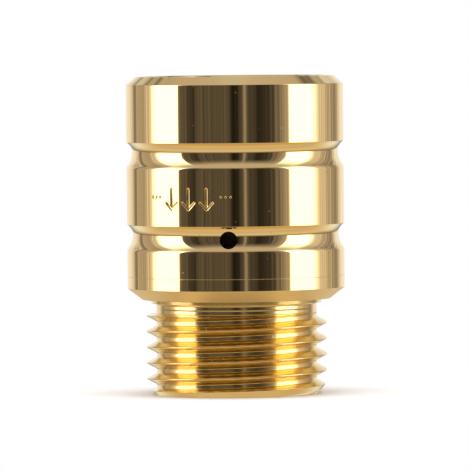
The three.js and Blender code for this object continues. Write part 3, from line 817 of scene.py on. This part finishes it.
def polished_brass():
    """Polished bright on the bands and less so on the skirt and the thread, which are left as cut."""
    finish = Finish("polished_brass")
    clouds = finish.noise(finish.place, 120)
    turning_marks(finish, depth=0.006)
    height = finish.split(finish.place)["Z"]
    foot, foot_low = SKIRT_FOOT_Z * MM, (SKIRT_FOOT_Z - GUARD) * MM
    skirt = finish.product(finish.ranged(height, foot_low, foot),
                           finish.ranged(height, SKIRT_Z * MM, (SKIRT_Z - GUARD) * MM))
    thread = finish.ranged(height, foot, foot_low)
    colour = finish.mixed(clouds, (0.95, 0.75, 0.37, 1), (0.92, 0.72, 0.35, 1))
    colour = finish.mixed(thread, colour, finish.mixed(clouds, (0.93, 0.72, 0.32, 1), (0.89, 0.67, 0.29, 1)))
    spots = specks(finish, scale=600, size=0.09)
    finish.set(
        Base_Color=finish.mixed(spots, colour, (0.80, 0.60, 0.28, 1)),
        Metallic=1.0,
        Roughness=finish.total(
            finish.ranged(clouds, 0.3, 0.7, 0.03, 0.06), finish.product(spots, 0.2),
            finish.product(skirt, SKIRT_DULLNESS), finish.product(thread, THREAD_DULLNESS),
        ),
    )
    return finish.material


def rubber():
    finish = Finish("rubber")
    grain = finish.noise(finish.place, 6000)
    clouds = finish.noise(finish.place, 400)
    finish.set(
        Base_Color=finish.mixed(clouds, (0.012, 0.012, 0.013, 1), (0.03, 0.03, 0.031, 1)),
        Roughness=finish.ranged(grain, 0.3, 0.7, 0.55, 0.75),
    )
    finish.bumped(grain, 0.00003)
    return finish.material


def steel():
    finish = Finish("steel")
    grain = finish.noise(finish.place, 9000)
    clouds = finish.noise(finish.place, 700)
    finish.set(
        Base_Color=finish.mixed(clouds, (0.60, 0.60, 0.59, 1), (0.52, 0.52, 0.52, 1)),
        Metallic=1.0,
        Roughness=finish.ranged(grain, 0.3, 0.7, 0.2, 0.34),
    )
    finish.bumped(grain, 0.000004)
    return finish.material


def moulded(name, light, dark, roughness):
    """Moulded plastic with a fine spark-eroded grain."""
    finish = Finish(name)
    grain = finish.noise(finish.place, 5000)
    clouds = finish.noise(finish.place, 300)
    finish.set(
        Base_Color=finish.mixed(clouds, (*light, 1), (*dark, 1)),
        Roughness=finish.ranged(grain, 0.3, 0.7, roughness - 0.06, roughness + 0.08),
        Subsurface_Weight=0.1,
        Subsurface_Scale=0.001,
    )
    finish.bumped(grain, 0.00001)
    return finish.material


MATERIALS = {
    "polished_brass": polished_brass(),
    "rubber": rubber(),
    "steel": steel(),
    "white_plastic": moulded("white_plastic", (0.80, 0.80, 0.76), (0.74, 0.74, 0.70), 0.42),
    "grey_plastic": moulded("grey_plastic", (0.26, 0.28, 0.30), (0.20, 0.22, 0.24), 0.48),
    "black_plastic": moulded("black_plastic", (0.04, 0.032, 0.028), (0.03, 0.025, 0.022), 0.6),
}


# ---------- Assembly ----------

def stand_for(piece, node):
    """Shows a piece in place of a CAD node, on its body and with its finish."""
    piece.data.materials.clear()
    piece.data.materials.append(MATERIALS[SLOT_OF[node]])
    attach(piece, BODY_OF[node])
    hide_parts(node)


PIECES = {
    "housing": housing(),
    "outlet_nipple": outlet_nipple(),
    "body_o_ring": stack_o_ring("body_o_ring"),
    "nozzle_o_ring": stack_o_ring("nozzle_o_ring"),
    "inlet_washer": inlet_washer(),
    "strainer_rim": strainer_rim(),
    "strainer_mesh": strainer_mesh(),
    "regulator_body": regulator_body(),
    "regulator_core": regulator_core(),
    "regulator_ring": regulator_ring(),
    "regulator_cover": regulator_cover(),
    "air_ring": air_ring(),
    "jet_nozzle": jet_nozzle(),
    "lower_spider": lower_spider(),
    "spacer_sleeve": ring("spacer_sleeve_shown", CHAMBER_LINING_R, LINING_R, bottom("spacer_sleeve"),
                          top("spacer_sleeve"), SOFT_EDGE),
    "lower_bush": small_ring("lower_bush", AXLE_HOLE_R, EDGE),
    "upper_bush": small_ring("upper_bush", AXLE_HOLE_R, EDGE),
    "lower_thrust_washer": small_ring("lower_thrust_washer", AXLE_HOLE_R + FIT, EDGE / 2),
    "upper_thrust_washer": small_ring("upper_thrust_washer", AXLE_HOLE_R + FIT, EDGE / 2),
    "turbine_rotor": turbine_rotor(),
    "rotor_axle": rotor_axle(),
}
for node, piece in PIECES.items():
    stand_for(piece, node)


# ---------- Stage, light and camera ----------

# Level of light that reaches the object from each side, by degrees to the right of the camera
STUDIO_RING = [
    (-180, 1.0), (-150, 0.95), (-137, 0.6), (-133, 0.16), (-129, 0.45), (-111, 0.48),
    (-100.5, 0.85), (-96, 2.0), (-92, 2.6), (-63.2, 2.6),  # left softbox
    (-62.8, 0.18), (-50, 0.06), (-44, 0.05), (-40, 0.1), (-7, 0.1),
    (-3, 0.02), (3, 0.02),  # the camera
    (8.5, 0.12), (10.3, 0.5), (12.5, 0.1), (26, 0.023), (40, 0.07), (59, 0.45),
    (59.4, 2.6), (90, 2.6),  # right softbox
    (94, 1.6), (98.6, 0.9), (104, 0.72), (134, 0.27), (139, 0.6), (150, 0.95), (180, 1.0),
]
# Level of light from above and below the ring, by degrees above the horizon
SURROUNDINGS = [
    (-90, 0.55), (-75, 0.68), (-60, 0.7), (-45, 0.64), (-35, 0.72), (-22, 0.8), (-14, 0.5), (-9, 0.2),
    (30, 0.2), (55, 0.55), (90, 0.62),
]
# Share of the light that dark uprights high behind the object let through, by the same degrees as the ring
UPRIGHTS = [
    (-180, 0.75), (-162, 0.75), (-160, 0.25), (-157, 0.7), (-152, 0.7), (-149.5, 0.25), (-147, 0.7),
    (-145, 0.75), (-143, 0.25), (-141, 1), (137, 1), (139.5, 0.25), (142, 0.5), (143.5, 0.25), (145, 0.75),
    (150, 0.5), (151, 0.75), (180, 0.75),
]
HIGHEST_LEVEL = 2.6
FAR_FLOOR_GAIN = 0.15  # how much brighter the floor behind the object is than the rest of it

# Where each of these fades in and out, by degrees above the horizon
RING_FOOT, RING_HEAD = (-9, -5), (55, 30)
UPRIGHTS_FOOT, UPRIGHTS_HEAD = (10, 20), (65, 55)
FAR_FLOOR_FOOT, FAR_FLOOR_HEAD = (-45, -25), (5, -5)
FAR_FLOOR_SIDE = (115, 145)  # this one by degrees to either side of the camera
DIM = (1.2, 0.5)  # levels between which a panel starts to count as dim, which gives it streaks and a tint
STREAK_SCALE, STREAK_GAIN = 0.35, 0.4

WHITE, ROOM_TINT, FLOOR_TINT = (1, 1, 1, 1), (1.0, 0.86, 0.82, 1), (1.0, 0.82, 0.62, 1)

# Floor, lamp and camera, in metres
FLOOR_SIZE, FLOOR_Z = 60, -0.00002  # just below the outlet's end face
FLOOR_FADE = (0.012, 0.06)  # distances from the axis between which the floor turns white
LAMP_SIZE, LAMP_POWER, LAMP_PLACE = 0.6, 7.0, (0, -0.1, 0.8)
CAMERA_PLACE, AIM = Vector((0, -0.735, 0.043)), Vector((-0.00009, 0, 0.0182))
LENS, SENSOR_WIDTH, ROLL = 490, 36, math.radians(-0.56)
CLIP_START, CLIP_END = 0.01, 100


def studio():
    """White to the camera; to everything else, a ring of panels round a dim room with a pale floor."""
    world = bpy.data.worlds.new("studio")
    world.use_nodes = True
    bpy.context.scene.world = world
    graph = Graph(world.node_tree)
    x, y, z = graph.split(graph.add("ShaderNodeTexCoord").outputs["Generated"])
    azimuth = graph.math("MULTIPLY", graph.math("ARCTAN2", x, graph.math("MULTIPLY", y, -1)), 360 / TURN)
    elevation = graph.math("MULTIPLY", graph.math("ARCSINE", z), 360 / TURN)
    panels = graph.ramp(azimuth, STUDIO_RING, -180, 180, HIGHEST_LEVEL)
    noise = graph.add("ShaderNodeTexNoise", {"noise_dimensions": "1D"}, W=azimuth, Scale=STREAK_SCALE,
                      Detail=4.0)
    dim = graph.ranged(panels, *DIM)
    streak = graph.ranged(noise.outputs[0], 0.3, 0.7, -STREAK_GAIN, STREAK_GAIN)
    streaks = graph.total(1, graph.product(streak, dim))
    in_ring = graph.product(graph.ranged(elevation, *RING_FOOT), graph.ranged(elevation, *RING_HEAD))
    raised = graph.product(graph.ranged(elevation, *UPRIGHTS_FOOT), graph.ranged(elevation, *UPRIGHTS_HEAD))
    uprights = graph.ramp(azimuth, UPRIGHTS, -180, 180, 1)
    shade = graph.total(1, graph.product(raised, graph.math("SUBTRACT", uprights, 1)))
    low = graph.product(graph.ranged(elevation, *FAR_FLOOR_FOOT), graph.ranged(elevation, *FAR_FLOOR_HEAD))
    behind = graph.product(graph.ranged(graph.math("ABSOLUTE", azimuth), *FAR_FLOOR_SIDE), low)
    outside = graph.product(graph.ramp(elevation, SURROUNDINGS, -90, 90, HIGHEST_LEVEL),
                            graph.total(1, graph.product(behind, FAR_FLOOR_GAIN)))
    level = graph.product(shade, graph.total(graph.product(panels, streaks, in_ring),
                                             graph.product(outside, graph.math("SUBTRACT", 1, in_ring))))
    room_tint = graph.mixed(dim, WHITE, ROOM_TINT)
    floor_tint = graph.mixed(behind, FLOOR_TINT, WHITE)
    tint = graph.mixed(graph.ranged(elevation, RING_FOOT[0], 0), floor_tint, room_tint)
    seen = graph.add("ShaderNodeLightPath").outputs["Is Camera Ray"]
    light = graph.scaled(tint, level)
    graph.feed(graph.nodes["Background"].inputs["Color"], graph.mixed(seen, light, WHITE))


def pale_floor():
    """A pale floor that turns into the white background away from the object."""
    finish = Finish("pale_floor")
    finish.set(Base_Color=(0.86, 0.86, 0.86, 1), Roughness=0.7)
    glow = finish.add("ShaderNodeEmission", Color=WHITE, Strength=1.0)
    away = finish.ranged(finish.length(finish.place), *FLOOR_FADE)
    blend = finish.add("ShaderNodeMixShader", _0=away, _1=finish.surface.outputs[0], _2=glow.outputs[0])
    finish.feed(finish.nodes["Material Output"].inputs["Surface"], blend.outputs[0])
    bpy.ops.mesh.primitive_plane_add(size=FLOOR_SIZE)
    floor = bpy.context.object
    floor.name = "floor"
    floor.location.z = FLOOR_Z
    floor.data.materials.append(finish.material)
    floor.visible_glossy = False
    floor.visible_diffuse = False


def overhead_lamp():
    """A soft lamp for the floor and the dull pieces, which polished faces don't mirror."""
    lamp = bpy.data.lights.new("overhead", "AREA")
    lamp.size, lamp.energy = LAMP_SIZE, LAMP_POWER
    holder = bpy.data.objects.new("overhead", lamp)
    holder.location = LAMP_PLACE
    holder.visible_glossy = False
    bpy.context.scene.collection.objects.link(holder)


def camera():
    data = bpy.data.cameras.new("camera")
    data.lens, data.sensor_width = LENS, SENSOR_WIDTH
    data.clip_start, data.clip_end = CLIP_START, CLIP_END
    holder = bpy.data.objects.new("camera", data)
    holder.location = CAMERA_PLACE
    turn = (AIM - CAMERA_PLACE).to_track_quat("-Z", "Y").to_matrix() @ Matrix.Rotation(ROLL, 3, "Z")
    holder.rotation_euler = turn.to_euler()
    bpy.context.scene.collection.objects.link(holder)
    bpy.context.scene.camera = holder


studio()
pale_floor()
overhead_lamp()
camera()
bpy.context.scene.view_settings.view_transform = "Standard"
